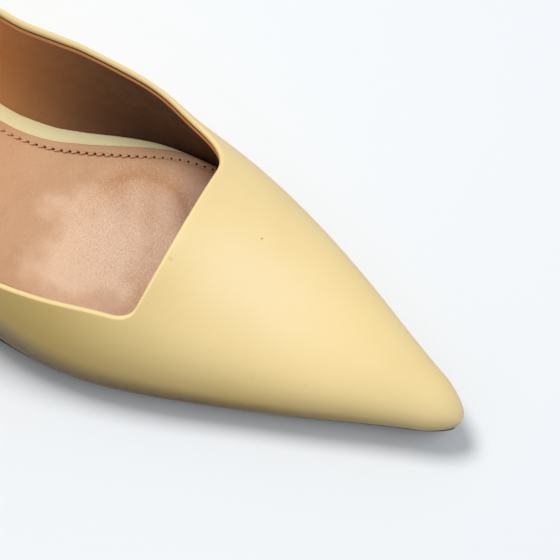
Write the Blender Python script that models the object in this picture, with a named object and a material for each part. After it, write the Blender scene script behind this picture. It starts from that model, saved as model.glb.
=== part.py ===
"""Wedge pump for the right foot, with a pointed toe, a square throat and a full wedge heel.

The origin is on the floor under the centre of the heel seat. +X points to the toe, +Y to the
inner (medial) side of the foot, and +Z up. Every surface starts from the feather line, which is
the edge where the upper turns under on to the sole.
"""

import math
from collections import namedtuple

import bpy
import numpy as np

MM = 0.001

# Last: the form that the shoe is built round
LAST_LENGTH = 264.5 * MM
BALL_WIDTH = 75.0 * MM
WAIST_WIDTH = 50.0 * MM
HEEL_WIDTH = 48.5 * MM
HEEL_CENTRE = 30.0 * MM
HEEL_LIFT = 40.0 * MM
TOE_SPRING = 5.8 * MM
TOE_NOSE = 9.5 * MM
NOSE_OVERHANG = 1.4 * MM
INSTEP_HEIGHT = 40.0 * MM
SIDE_BULGE = 3.2 * MM
BULGE_LEVEL = 10.0 * MM
RIDGE_SHIFT = 3.0 * MM

# Upper: leather and lining together, and where its top edge runs
WALL = 2.0 * MM
VAMP_LENGTH = 89.0 * MM
THROAT_DIP = 1.2 * MM
INNER_CORNER = 15.5 * MM
OUTER_CORNER = 5.5 * MM
SIDE_HEIGHT = 36.0 * MM
BACK_HEIGHT = 55.0 * MM

# Under the foot
INSOLE_THICKNESS = 3.5 * MM
INSOLE_ROUND = 0.9 * MM
INSOLE_SETBACK = 3.5 * MM
SOCK_THICKNESS = 1.0 * MM
SOCK_MARGIN = 0.2 * MM
RIM_WIDTH = 4.6 * MM
WEDGE_TAPER = 3.0 * MM
WEDGE_INSET = 0.5 * MM
WEDGE_FRONT_THICKNESS = 0.7 * MM
OUTSOLE_THICKNESS = 3.0 * MM
OUTSOLE_INSET = 0.5 * MM
CLEARANCE = 0.3 * MM

# How finely the solids are faceted
HEEL_STATIONS = 10
BODY_STATIONS = 38
NOSE_STATIONS = 7
VAMP_COLUMNS = 18
WALL_ROWS = 15
FINE_STEPS = 240
FRONT_STEPS = 2000
SHARP_ANGLE = math.radians(35)

# Feather line seen from above. along is a share of LAST_LENGTH from the back of the heel, and
# inner and outer are shares of the width named in the row.
Plan = namedtuple("Plan", "along width inner outer")
PLAN = (
    Plan(0.113, HEEL_WIDTH, 0.488, 0.512),
    Plan(0.190, HEEL_WIDTH, 0.478, 0.526),
    Plan(0.265, HEEL_WIDTH, 0.425, 0.538),
    Plan(0.340, WAIST_WIDTH, 0.392, 0.572),
    Plan(0.400, WAIST_WIDTH, 0.404, 0.622),
    Plan(0.440, WAIST_WIDTH, 0.412, 0.663),
    Plan(0.470, WAIST_WIDTH, 0.453, 0.698),
    Plan(0.490, BALL_WIDTH, 0.340, 0.478),
    Plan(0.530, BALL_WIDTH, 0.425, 0.495),
    Plan(0.567, BALL_WIDTH, 0.487, 0.500),
    Plan(0.600, BALL_WIDTH, 0.520, 0.493),
    Plan(0.635, BALL_WIDTH, 0.535, 0.476),
    Plan(0.700, BALL_WIDTH, 0.496, 0.418),
    Plan(0.775, BALL_WIDTH, 0.396, 0.332),
    Plan(0.850, BALL_WIDTH, 0.277, 0.243),
    Plan(0.920, BALL_WIDTH, 0.155, 0.152),
    Plan(0.966, BALL_WIDTH, 0.079, 0.098),
    Plan(1.000, BALL_WIDTH, 0.033, 0.068),
)

# Height of the feather line: heel is a share of HEEL_LIFT, toe a share of TOE_SPRING.
Rise = namedtuple("Rise", "along heel toe")
RISE = (
    Rise(0.00, 1.00, 0.00),
    Rise(0.08, 1.00, 0.00),
    Rise(0.16, 0.945, 0.00),
    Rise(0.25, 0.800, 0.00),
    Rise(0.35, 0.540, 0.00),
    Rise(0.45, 0.265, 0.00),
    Rise(0.53, 0.085, 0.00),
    Rise(0.60, 0.008, 0.00),
    Rise(0.65, 0.00, 0.00),
    Rise(0.74, 0.00, 0.06),
    Rise(0.82, 0.00, 0.24),
    Rise(0.91, 0.00, 0.59),
    Rise(1.00, 0.00, 1.00),
)

# Cross-sections of the last. inner and outer bulge are shares of SIDE_BULGE, level of
# BULGE_LEVEL, height of INSTEP_HEIGHT and ridge of RIDGE_SHIFT. inner_power and outer_power
# round the section: 2 is an ellipse, and more is squarer.
Section = namedtuple("Section", "along inner outer level height ridge inner_power outer_power")
SECTIONS = (
    Section(0.00, 0.95, 0.95, 2.00, 2.10, 0.00, 2.60, 2.60),
    Section(0.15, 1.10, 0.95, 2.00, 1.98, 0.00, 2.60, 2.60),
    Section(0.30, 1.95, 0.95, 2.20, 1.80, 0.00, 2.70, 2.60),
    Section(0.42, 2.86, 1.00, 2.00, 1.60, 0.60, 3.00, 2.53),
    Section(0.47, 3.45, 1.00, 1.75, 1.528, 0.82, 2.98, 2.48),
    Section(0.53, 2.02, 1.00, 1.40, 1.42, 1.00, 2.80, 2.40),
    Section(0.57, 1.20, 1.00, 1.20, 1.304, 1.02, 2.51, 2.345),
    Section(0.62, 0.22, 1.00, 1.00, 1.14, 1.00, 2.12, 2.28),
    Section(0.70, 0.28, 1.00, 0.90, 0.885, 1.00, 1.84, 2.24),
    Section(0.775, 0.66, 0.94, 0.80, 0.690, 0.85, 1.84, 2.19),
    Section(0.85, 0.72, 0.81, 0.75, 0.533, 0.50, 1.93, 2.17),
    Section(0.92, 0.62, 0.69, 0.68, 0.408, 0.25, 2.05, 2.15),
    Section(0.97, 0.50, 0.53, 0.60, 0.325, 0.10, 2.10, 2.10),
    Section(1.00, 0.47, 0.47, 0.55, 0.285, 0.00, 2.10, 2.10),
)

# Top edge along each side, above the feather line: side is a share of SIDE_HEIGHT, back of
# BACK_HEIGHT. The last row is where the side meets the throat.
Topline = namedtuple("Topline", "along side back")
INNER_TOPLINE = (
    Topline(0.000, 0.00, 1.00),
    Topline(0.060, 0.00, 0.990),
    Topline(0.150, 0.30, 0.735),
    Topline(0.260, 0.84, 0.330),
    Topline(0.370, 1.18, 0.080),
    Topline(0.470, 1.21, 0.00),
    Topline(0.570, 0.98, 0.00),
    Topline(0.675, 0.74, 0.00),
)
OUTER_TOPLINE = (
    Topline(0.000, 0.00, 1.00),
    Topline(0.060, 0.00, 0.990),
    Topline(0.150, 0.30, 0.715),
    Topline(0.260, 0.72, 0.310),
    Topline(0.370, 0.93, 0.080),
    Topline(0.470, 0.97, 0.00),
    Topline(0.570, 0.99, 0.00),
    Topline(0.625, 0.935, 0.00),
    Topline(0.675, 0.835, 0.00),
)

# Width of the wrapped rim that shows beside the sock, as a share of RIM_WIDTH
Rim = namedtuple("Rim", "along share")
RIM = (
    Rim(0.00, 0.80),
    Rim(0.20, 0.90),
    Rim(0.40, 0.92),
    Rim(0.46, 1.00),
    Rim(0.50, 0.85),
    Rim(0.54, 0.64),
    Rim(0.57, 0.38),
    Rim(0.60, 0.04),
    Rim(0.64, 0.00),
    Rim(1.00, 0.00),
)

LOW_SHARE = 0.2  # share of a section's walk that lies below the bulge
FAN_BEND = 5.0  # how sharply the vamp's lines turn back from the toe
VAMP_CROWDING = 1.35  # how much closer the vamp's lines start to each other at the toe
ROW_PULL = 0.8  # how much closer the upper's rows lie near the feather line
TIP_DRAW = 1.6  # how far the inside's tip draws back, in walls
DRAW_SPAN = 0.12  # share of the length over which it draws back
INSOLE_SHOULDER = 0.6  # share of the insole's thickness at which its edge starts to round
WEDGE_LEVELS = (0.0, 0.5, 1.0)
FRONT_SEARCH = (0.3, 0.7)  # shares of the length between which the wedge's front edge lies
STEP_SPAN = 0.004  # least share of the length from the outsole's step to its next station
BASE = OUTSOLE_THICKNESS + CLEARANCE
INNER, OUTER = 1, -1


def clear_scene():
    for item in list(bpy.data.objects):
        bpy.data.objects.remove(item, do_unlink=True)


def smooth(stations, values):
    """A smooth function through the rows of a table."""
    xs = np.asarray(stations, float)
    ys = np.asarray(values, float)
    gaps = np.diff(xs)
    slopes = np.diff(ys) / gaps
    tangents = np.empty_like(ys)
    tangents[1:-1] = (slopes[:-1] * gaps[1:] + slopes[1:] * gaps[:-1]) / (gaps[:-1] + gaps[1:])
    tangents[0] = 1.5 * slopes[0] - 0.5 * tangents[1]
    tangents[-1] = 1.5 * slopes[-1] - 0.5 * tangents[-2]

    def value(at):
        at = np.asarray(at, float)
        row = np.clip(np.searchsorted(xs, at) - 1, 0, len(xs) - 2)
        t = np.clip((at - xs[row]) / gaps[row], 0.0, 1.0)
        start = (1 + 2 * t) * (1 - t) ** 2 * ys[row] + t * (1 - t) ** 2 * gaps[row] * tangents[row]
        end = t * t * (3 - 2 * t) * ys[row + 1] + t * t * (t - 1) * gaps[row] * tangents[row + 1]
        return start + end

    return value


def column(table, pick):
    return smooth([row.along for row in table], [pick(row) for row in table])


plan_width = {
    INNER: column(PLAN, lambda row: row.inner * row.width),
    OUTER: column(PLAN, lambda row: row.outer * row.width),
}
feather_height = column(RISE, lambda row: BASE + row.heel * HEEL_LIFT + row.toe * TOE_SPRING)
bulge = {
    INNER: column(SECTIONS, lambda row: row.inner * SIDE_BULGE),
    OUTER: column(SECTIONS, lambda row: row.outer * SIDE_BULGE),
}
bulge_level = column(SECTIONS, lambda row: row.level * BULGE_LEVEL)
last_height = column(SECTIONS, lambda row: row.height * INSTEP_HEIGHT)
ridge_shift = column(SECTIONS, lambda row: row.ridge * RIDGE_SHIFT)
roundness = {
    INNER: column(SECTIONS, lambda row: row.inner_power),
    OUTER: column(SECTIONS, lambda row: row.outer_power),
}
top_height = {
    INNER: column(INNER_TOPLINE, lambda row: row.side * SIDE_HEIGHT + row.back * BACK_HEIGHT),
    OUTER: column(OUTER_TOPLINE, lambda row: row.side * SIDE_HEIGHT + row.back * BACK_HEIGHT),
}
corner_radius = {INNER: INNER_CORNER, OUTER: OUTER_CORNER}
rim_width = column(RIM, lambda row: row.share * RIM_WIDTH)


def nose(along, tip=1.0):
    """1 along the shoe, falling to 0 at the tip as a quarter of an ellipse."""
    start = tip - TOE_NOSE / LAST_LENGTH
    share = np.clip((along - start) / (tip - start), 0, 1)
    return np.sqrt(np.maximum(1 - share**2, 0))


def heel_turn(along):
    """Angle round the heel: 0 at the heel's widest place, a quarter turn at its back."""
    share = np.clip(1 - along * LAST_LENGTH / HEEL_CENTRE, 0, 1)
    return np.arcsin(share)


def middle_line(along):
    """Half way between the two sides, where the tip of the toe lies."""
    return (plan_width[INNER](along) - plan_width[OUTER](along)) / 2


def plan_slope(side, along):
    """How fast the feather line leaves the middle, going forward."""
    step = 0.5 * MM / LAST_LENGTH
    change = plan_width[side](along + step) - plan_width[side](along - step)
    return np.where(heel_turn(along) > 0, 0.0, change / (2 * step * LAST_LENGTH))


def feather(side, along, inset=0.0, tip=1.0):
    """Points (x, y) of the feather line, or of a line inset from it that ends at its own tip."""
    along = np.asarray(along, float)
    turn = heel_turn(along)
    half = plan_width[side](np.maximum(along, HEEL_CENTRE / LAST_LENGTH))
    end = nose(along, tip)
    slope = plan_slope(side, along)
    square = np.sqrt(1 + slope**2)
    x = along * LAST_LENGTH - HEEL_CENTRE + inset * np.sin(turn) + inset * slope / square * end
    across = side * (half * np.cos(turn) - inset * np.cos(turn) / square)
    middle = middle_line(along)
    return np.stack([x, middle + (across - middle) * end], -1)


def section(side, along, walk, wall=0.0):
    """A point of the upper's surface. walk is 0 at the feather line and 1 on the ridge.

    With a wall, it is the point that lies that far inside, and the tip draws back with it.
    """
    along, walk = np.broadcast_arrays(np.asarray(along, float), np.asarray(walk, float))
    back = wall * TIP_DRAW / LAST_LENGTH
    along = along - back * np.clip(1 - (1 - along) / DRAW_SPAN, 0, 1) ** 2
    tip = 1 - back
    point = feather(side, along, wall, tip)
    turn = heel_turn(along)
    end = nose(along, tip)
    swell = bulge[side](along) * end
    level = bulge_level(along)
    height = level + (last_height(along) - wall - level) * end
    power = 2 / roundness[side](along)
    body = (plan_width[side](along) - wall - side * middle_line(along)) * end
    half = (HEEL_CENTRE - wall) * np.sin(turn) ** 2 + body * np.cos(turn) ** 2
    low = np.clip(walk / LOW_SHARE, 0, 1)
    angle = np.clip((walk - LOW_SHARE) / (1 - LOW_SHARE), 0, 1) * math.pi / 2
    above = walk > LOW_SHARE
    reach = np.where(above, np.clip(np.cos(angle), 0, 1) ** power, 1.0)
    climb = np.where(above, np.sin(angle) ** power, 0.0)
    offset = (half + swell) * reach - swell * (1 - low) ** 2 - half
    z = level * low + (height - level) * climb
    lean = ridge_shift(along) * (z / height) ** 2 * end
    overhang = np.clip(1 - (1 - along) / (3 * TOE_NOSE / LAST_LENGTH), 0, 1) ** 2
    x = point[..., 0] - np.sin(turn) * offset + NOSE_OVERHANG * overhang * (1 - (1 - low) ** 2)
    y = point[..., 1] + side * np.cos(turn) * offset + lean
    return np.stack([x, y, feather_height(along) + z], -1)


def walk_to(side, height, along):
    """How far up a section lies at a height above the feather line."""
    level = bulge_level(along)
    full = last_height(along)
    share = np.clip((height - level) / (full - level), 0, 1)
    angle = np.arcsin(share ** (roundness[side](along) / 2))
    low = LOW_SHARE * np.clip(height / level, 0, 1)
    return np.where(height > level, LOW_SHARE + (1 - LOW_SHARE) * angle / (math.pi / 2), low)


def heel_stations():
    """Stations round the back of the heel, evenly turned."""
    turns = np.linspace(math.pi / 2, 0, HEEL_STATIONS)
    return (1 - np.sin(turns)) * HEEL_CENTRE / LAST_LENGTH


def body_stations(front):
    """Stations shared by all the pieces, from the back of the heel to a front of their own."""
    heel = heel_stations()
    grid = np.linspace(heel[-1], 1 - 2 * TOE_NOSE / LAST_LENGTH, BODY_STATIONS)
    spacing = grid[1] - grid[0]
    return np.concatenate([heel[:-1], grid[grid < front - spacing / 3], [front]])


def corner_start(side):
    """Where the top edge of a side begins to round into the throat."""
    return 1 - (VAMP_LENGTH + corner_radius[side]) / LAST_LENGTH


def throat_path(side):
    """The top edge from the side, round the corner and over to the ridge: (along, walk)."""
    corner = 1 - VAMP_LENGTH / LAST_LENGTH
    before = corner_start(side)
    height = top_height[side]
    start = np.array([before, walk_to(side, height(before), before)])
    knee = np.array([corner, walk_to(side, height(corner), corner)])
    sweep = corner_radius[side] / (BALL_WIDTH / 2)
    after = np.array([corner, knee[1] + (1 - knee[1]) * sweep])
    t = np.linspace(0, 1, FINE_STEPS)[:, None]
    bend = (1 - t) ** 2 * start + 2 * t * (1 - t) * knee + t**2 * after
    across = after + (np.array([corner, 1.0]) - after) * t[1:]
    path = np.concatenate([bend, across])
    dip = np.clip((path[:, 1] - knee[1]) / (1 - knee[1]), 0, 1)
    path[:, 0] += THROAT_DIP / LAST_LENGTH * dip * (2 - dip)
    return path


def spread(points, count, pull=0.0):
    """Shares of a curve's length, spaced evenly, or closer to its start with a pull."""
    steps = np.linalg.norm(np.diff(points, axis=0), axis=-1)
    length = np.concatenate([[0], np.cumsum(steps)])
    t = np.linspace(0, 1, count)
    wanted = (t + pull * t * t) / (1 + pull) * length[-1]
    return np.interp(wanted, length, np.linspace(0, 1, len(points)))


def wall_column(side, foot, top):
    """A line up the upper, outside and inside, from the feather line at foot to the top edge."""
    forward = np.clip((foot - top[0]) / (1 - top[0]), 0, 1)
    if forward > 0.999:
        rise = np.concatenate([np.linspace(0, 1, FINE_STEPS), np.ones(FINE_STEPS)])
        back = np.concatenate([np.zeros(FINE_STEPS), np.linspace(0, 1, FINE_STEPS)])
    else:
        theta = np.linspace(0, math.pi / 2, FINE_STEPS)
        power = 2 / (1 + FAN_BEND * forward**3)
        rise = np.sin(theta) ** power
        back = 1 - np.cos(theta) ** power
    along = foot + (top[0] - foot) * back
    walk = top[1] * rise
    shares = spread(section(side, along, walk), WALL_ROWS, pull=ROW_PULL)
    fine = np.linspace(0, 1, len(walk))
    row_along = np.interp(shares, fine, along)
    row_walk = np.interp(shares, fine, walk)
    return section(side, row_along, row_walk), section(side, row_along, row_walk, WALL)


def upper_columns(side):
    """Lines up the upper from the back of the heel to the middle of the throat."""
    stations = body_stations(corner_start(side))
    columns = []
    for along in stations:
        top = np.array([along, walk_to(side, top_height[side](along), along)])
        columns.append(wall_column(side, along, top))
    path = throat_path(side)
    curve = section(side, path[:, 0], path[:, 1])
    shares = spread(curve, VAMP_COLUMNS + 1)
    picks = np.linspace(0, 1, len(path))
    for number, share in enumerate(shares[1:], start=1):
        top = np.array([np.interp(share, picks, path[:, k]) for k in range(2)])
        t = number / VAMP_COLUMNS
        foot = stations[-1] + (1 - stations[-1]) * (1 - (1 - t) ** VAMP_CROWDING)
        columns.append(wall_column(side, foot, top))
    return columns


def mesh_object(name, points, faces, material):
    mesh = bpy.data.meshes.new(name)
    mesh.from_pydata([tuple(p) for p in points], [], faces)
    mesh.validate()
    mesh.shade_smooth()
    mesh.set_sharp_from_angle(angle=SHARP_ANGLE)
    mesh.materials.append(material)
    item = bpy.data.objects.new(name, mesh)
    bpy.context.scene.collection.objects.link(item)
    return item


def make_material(name, colour, roughness):
    material = bpy.data.materials.new(name)
    material.use_nodes = True
    shader = material.node_tree.nodes["Principled BSDF"]
    shader.inputs["Base Color"].default_value = (*colour, 1.0)
    shader.inputs["Roughness"].default_value = roughness
    return material


def make_upper(material):
    """One hollow wall, open at the top edge and underneath."""
    inner_side = upper_columns(INNER)
    outer_side = upper_columns(OUTER)
    columns = np.array(inner_side + outer_side[-2:0:-1])
    ring = columns[:, 0]
    inside = columns[:, 1]
    count, rows = ring.shape[:2]
    points = np.concatenate([ring.reshape(-1, 3), inside.reshape(-1, 3)])
    shift = count * rows
    faces = []
    for i in range(count):
        j = (i + 1) % count
        for k in range(rows - 1):
            a, b, c, d = i * rows + k, j * rows + k, j * rows + k + 1, i * rows + k + 1
            faces.append((d, c, b, a))
            faces.append((a + shift, b + shift, c + shift, d + shift))
        low, high = (i * rows, j * rows), (i * rows + rows - 1, j * rows + rows - 1)
        faces.append((low[0], low[1], low[1] + shift, low[0] + shift))
        faces.append((high[1], high[0], high[0] + shift, high[1] + shift))
    return mesh_object("upper", points, faces, material)


def long_stations(tip=1.0):
    """Stations of a piece that reaches into the toe and ends in a point at its tip."""
    start = tip - TOE_NOSE / LAST_LENGTH
    end = start + (tip - start) * np.sin(np.linspace(0, math.pi / 2, NOSE_STATIONS))
    return np.concatenate([body_stations(start)[:-1], end])


def make_plank(name, stations, levels, material, tip=1.0):
    """A closed solid from outlines stacked upwards. Each level is (insets, heights)."""
    pointed = stations[-1] >= tip
    rings = []
    for insets, heights in levels:
        heights = np.broadcast_to(heights, stations.shape)
        sides = []
        for side in (INNER, OUTER):
            sides.append(np.column_stack([feather(side, stations, insets[side], tip), heights]))
        sides[0][0] = (sides[0][0] + sides[1][0]) / 2
        rings.append(np.concatenate([sides[0], sides[1][-2 if pointed else -1 : 0 : -1]]))
    count = len(rings[0])
    last = len(stations) - 1
    faces = []
    for k in range(len(rings) - 1):
        for i in range(count):
            j = (i + 1) % count
            faces.append((k * count + j, k * count + i, (k + 1) * count + i, (k + 1) * count + j))
    top = (len(rings) - 1) * count
    for i in range(last):
        quad = [i, i + 1, (count - i - 1) % count, (count - i) % count]
        flat = [p for n, p in enumerate(quad) if p not in quad[:n]]
        if len(flat) > 2:
            faces.append(tuple(flat))
            faces.append(tuple(p + top for p in reversed(flat)))
    return mesh_object(name, np.concatenate(rings), faces, material)


def both(inset):
    return {INNER: inset, OUTER: inset}


def wall_inset(side, stations, height):
    """How far inside the feather line the lining lies at a small height, plus the clearance."""
    level = bulge_level(stations)
    swell = bulge[side](stations) * nose(stations)
    low = np.clip(height / level, 0, 1)
    slope = 2 * swell * (1 - low) / level
    outside = swell * (1 - (1 - low) ** 2)
    square = np.sqrt(1 + plan_slope(side, stations) ** 2)
    return WALL + CLEARANCE * np.sqrt(1 + slope**2) - outside / square


def make_insole(material):
    """The footbed: a board wrapped in the upper's leather, with a rounded top edge."""
    tip = 1 - (WALL + CLEARANCE + INSOLE_SETBACK) / LAST_LENGTH
    stations = long_stations(tip)
    heights = (0.0, INSOLE_THICKNESS * INSOLE_SHOULDER, INSOLE_THICKNESS)
    levels = []
    for height in heights:
        inward = INSOLE_ROUND if height == INSOLE_THICKNESS else 0.0
        insets = {s: wall_inset(s, stations, height) + inward for s in (INNER, OUTER)}
        levels.append((insets, feather_height(stations) + height))
    return make_plank("insole", stations, levels, material, tip)


def make_sock(material):
    """The leather sock on the footbed. Its edge leaves a rim bare from the ball to the heel."""
    tip = 1 - (WALL + 2 * CLEARANCE + 2 * INSOLE_SETBACK) / LAST_LENGTH
    stations = long_stations(tip)
    base = INSOLE_THICKNESS + CLEARANCE
    levels = []
    for height in (base, base + SOCK_THICKNESS):
        insets = {}
        for side in (INNER, OUTER):
            wall = wall_inset(side, stations, INSOLE_THICKNESS)
            insets[side] = wall + INSOLE_ROUND + SOCK_MARGIN + rim_width(stations)
        levels.append((insets, feather_height(stations) + height))
    return make_plank("sock", stations, levels, material, tip)


def wedge_front():
    """The station where the wedge has thinned to its front edge."""
    steps = np.linspace(*FRONT_SEARCH, FRONT_STEPS)
    room = feather_height(steps) - CLEARANCE - BASE
    return float(steps[np.argmax(room < WEDGE_FRONT_THICKNESS)])


def make_wedge(front, material):
    """The heel wedge, from the seat of the heel to a thin edge behind the ball."""
    stations = body_stations(front)
    room = feather_height(stations) - CLEARANCE - BASE
    drop = room / HEEL_LIFT
    levels = []
    for share in WEDGE_LEVELS:
        inset = WEDGE_INSET + WEDGE_TAPER * (1 - share) ** 2 * drop
        levels.append((both(inset), BASE + room * share))
    return make_plank("wedge", stations, levels, material)


def make_outsole(front, material):
    """The outsole: flat under the wedge and the ball, then lifting with the toe."""
    gap = CLEARANCE / LAST_LENGTH
    back = body_stations(front + gap)
    full = long_stations()
    stations = np.concatenate([back, [front + 2 * gap], full[full > front + STEP_SPAN]])
    under_wedge = stations <= front + gap
    room = feather_height(stations) - CLEARANCE - BASE
    taper = np.maximum(WEDGE_TAPER * room / HEEL_LIFT, 0)
    inset = np.where(under_wedge, WEDGE_INSET + taper, OUTSOLE_INSET)
    lift = column(RISE, lambda row: row.toe * TOE_SPRING)(stations)
    top = np.where(under_wedge, OUTSOLE_THICKNESS, feather_height(stations) - CLEARANCE)
    levels = ((both(inset), lift), (both(inset), top))
    return make_plank("outsole", stations, levels, material)


def main():
    clear_scene()
    leather = make_material("upper_leather", (0.87, 0.71, 0.39), 0.42)
    rim = make_material("rim_leather", (0.80, 0.68, 0.38), 0.45)
    wrap = make_material("wedge_leather", (0.86, 0.70, 0.38), 0.42)
    tan = make_material("sock_leather", (0.64, 0.41, 0.25), 0.5)
    sole = make_material("sole_leather", (0.07, 0.05, 0.04), 0.55)
    front = wedge_front()
    make_upper(leather)
    make_insole(rim)
    make_sock(tan)
    make_wedge(front, wrap)
    make_outsole(front, sole)


main()
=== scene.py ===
# %% [markdown]
# # A wedge pump, dressed for its portrait
#
# The solids of this shoe come from model.glb: an upper, an insole, a sock, a wedge and an
# outsole. They are faceted and plain. This lesson makes the leather skin, the lining, the
# stitched sock and the wrapped heel that a shoemaker would show, on the same last and in
# the same place. It begins with the frame, so that every new piece rides where it should.

# %% Load the imported frame
import math
from collections import namedtuple

import bpy
import numpy as np
from mathutils import Matrix, Vector


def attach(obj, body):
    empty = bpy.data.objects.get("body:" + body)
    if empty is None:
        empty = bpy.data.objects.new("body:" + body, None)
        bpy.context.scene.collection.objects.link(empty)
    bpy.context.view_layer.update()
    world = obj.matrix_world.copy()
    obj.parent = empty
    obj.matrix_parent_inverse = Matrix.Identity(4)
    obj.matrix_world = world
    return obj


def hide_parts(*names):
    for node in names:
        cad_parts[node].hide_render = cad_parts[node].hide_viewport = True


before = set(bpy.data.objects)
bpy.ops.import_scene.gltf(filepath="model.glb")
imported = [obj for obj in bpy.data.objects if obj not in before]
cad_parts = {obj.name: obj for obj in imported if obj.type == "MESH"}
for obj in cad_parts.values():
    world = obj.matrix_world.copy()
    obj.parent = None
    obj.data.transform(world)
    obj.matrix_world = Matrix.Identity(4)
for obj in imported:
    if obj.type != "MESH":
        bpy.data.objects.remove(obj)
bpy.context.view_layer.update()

MM = 0.001
print("solids:", sorted(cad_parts))

# %% [markdown]
# ## The last
#
# A shoe is pulled over a last, a wooden or plastic foot. Everything else hangs on two of its
# curves: the feather line, where the upper turns under, and the ridge over the instep. We
# could sculpt the shoe, but a last described by a few sizes and short tables stays smooth
# however finely we slice it, so the skin, the lining and the sock all fit each other.

# %% Sizes of the last
LAST_LENGTH = 264.5 * MM
BALL_WIDTH = 75.0 * MM
WAIST_WIDTH = 50.0 * MM
HEEL_WIDTH = 48.5 * MM
HEEL_CENTRE = 30.0 * MM
HEEL_LIFT = 40.0 * MM
TOE_SPRING = 5.8 * MM
TOE_NOSE = 9.5 * MM
NOSE_OVERHANG = 1.4 * MM
INSTEP_HEIGHT = 40.0 * MM
SIDE_BULGE = 3.2 * MM
BULGE_LEVEL = 10.0 * MM
RIDGE_SHIFT = 3.0 * MM
VAMP_LENGTH = 89.0 * MM
THROAT_DIP = 1.2 * MM
INNER_CORNER = 15.5 * MM
OUTER_CORNER = 5.5 * MM
SIDE_HEIGHT = 36.0 * MM
BACK_HEIGHT = 55.0 * MM
WALL = 2.0 * MM
BASE = 3.3 * MM
LOW_SHARE = 0.2
TIP_DRAW = 1.6
DRAW_SPAN = 0.12
INNER, OUTER = 1, -1

Plan = namedtuple("Plan", "along width inner outer")
PLAN = (
    Plan(0.113, HEEL_WIDTH, 0.488, 0.512),
    Plan(0.190, HEEL_WIDTH, 0.478, 0.526),
    Plan(0.265, HEEL_WIDTH, 0.425, 0.538),
    Plan(0.340, WAIST_WIDTH, 0.392, 0.572),
    Plan(0.400, WAIST_WIDTH, 0.404, 0.622),
    Plan(0.440, WAIST_WIDTH, 0.412, 0.663),
    Plan(0.470, WAIST_WIDTH, 0.453, 0.698),
    Plan(0.490, BALL_WIDTH, 0.340, 0.478),
    Plan(0.530, BALL_WIDTH, 0.425, 0.495),
    Plan(0.567, BALL_WIDTH, 0.487, 0.500),
    Plan(0.600, BALL_WIDTH, 0.520, 0.493),
    Plan(0.635, BALL_WIDTH, 0.535, 0.476),
    Plan(0.700, BALL_WIDTH, 0.496, 0.418),
    Plan(0.775, BALL_WIDTH, 0.396, 0.332),
    Plan(0.850, BALL_WIDTH, 0.277, 0.243),
    Plan(0.920, BALL_WIDTH, 0.155, 0.152),
    Plan(0.966, BALL_WIDTH, 0.079, 0.098),
    Plan(1.000, BALL_WIDTH, 0.033, 0.068),
)
Rise = namedtuple("Rise", "along heel toe")
RISE = (
    Rise(0.00, 1.00, 0.00),
    Rise(0.08, 1.00, 0.00),
    Rise(0.16, 0.945, 0.00),
    Rise(0.25, 0.800, 0.00),
    Rise(0.35, 0.540, 0.00),
    Rise(0.45, 0.265, 0.00),
    Rise(0.53, 0.085, 0.00),
    Rise(0.60, 0.008, 0.00),
    Rise(0.65, 0.00, 0.00),
    Rise(0.74, 0.00, 0.06),
    Rise(0.82, 0.00, 0.24),
    Rise(0.91, 0.00, 0.59),
    Rise(1.00, 0.00, 1.00),
)
Section = namedtuple("Section", "along inner outer level height ridge inner_power outer_power")
SECTIONS = (
    Section(0.00, 0.95, 0.95, 2.00, 2.10, 0.00, 2.60, 2.60),
    Section(0.15, 1.10, 0.95, 2.00, 1.98, 0.00, 2.60, 2.60),
    Section(0.30, 1.95, 0.95, 2.20, 1.80, 0.00, 2.70, 2.60),
    Section(0.42, 2.86, 1.00, 2.00, 1.60, 0.60, 3.00, 2.53),
    Section(0.47, 3.45, 1.00, 1.75, 1.528, 0.82, 2.98, 2.48),
    Section(0.53, 2.02, 1.00, 1.40, 1.42, 1.00, 2.80, 2.40),
    Section(0.57, 1.20, 1.00, 1.20, 1.304, 1.02, 2.51, 2.345),
    Section(0.62, 0.22, 1.00, 1.00, 1.14, 1.00, 2.12, 2.28),
    Section(0.70, 0.28, 1.00, 0.90, 0.885, 1.00, 1.84, 2.24),
    Section(0.775, 0.66, 0.94, 0.80, 0.690, 0.85, 1.84, 2.19),
    Section(0.85, 0.72, 0.81, 0.75, 0.533, 0.50, 1.93, 2.17),
    Section(0.92, 0.62, 0.69, 0.68, 0.408, 0.25, 2.05, 2.15),
    Section(0.97, 0.50, 0.53, 0.60, 0.325, 0.10, 2.10, 2.10),
    Section(1.00, 0.47, 0.47, 0.55, 0.285, 0.00, 2.10, 2.10),
)
Topline = namedtuple("Topline", "along side back")
INNER_TOPLINE = (
    Topline(0.000, 0.00, 1.00),
    Topline(0.060, 0.00, 0.990),
    Topline(0.150, 0.30, 0.735),
    Topline(0.260, 0.84, 0.330),
    Topline(0.370, 1.18, 0.080),
    Topline(0.470, 1.21, 0.00),
    Topline(0.570, 0.98, 0.00),
    Topline(0.675, 0.74, 0.00),
)
OUTER_TOPLINE = (
    Topline(0.000, 0.00, 1.00),
    Topline(0.060, 0.00, 0.990),
    Topline(0.150, 0.30, 0.715),
    Topline(0.260, 0.72, 0.310),
    Topline(0.370, 0.93, 0.080),
    Topline(0.470, 0.97, 0.00),
    Topline(0.570, 0.99, 0.00),
    Topline(0.625, 0.935, 0.00),
    Topline(0.675, 0.835, 0.00),
)
print("last", LAST_LENGTH / MM, "mm long,", BALL_WIDTH / MM, "mm wide at the ball")

# %% [markdown]
# A table has a dozen rows, and the shoe needs hundreds of slices. A cubic curve through the
# rows, with its slope at each row taken from both neighbours, gives a value anywhere without
# a kink. The same trick serves widths, heights and the top edge.

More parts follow.
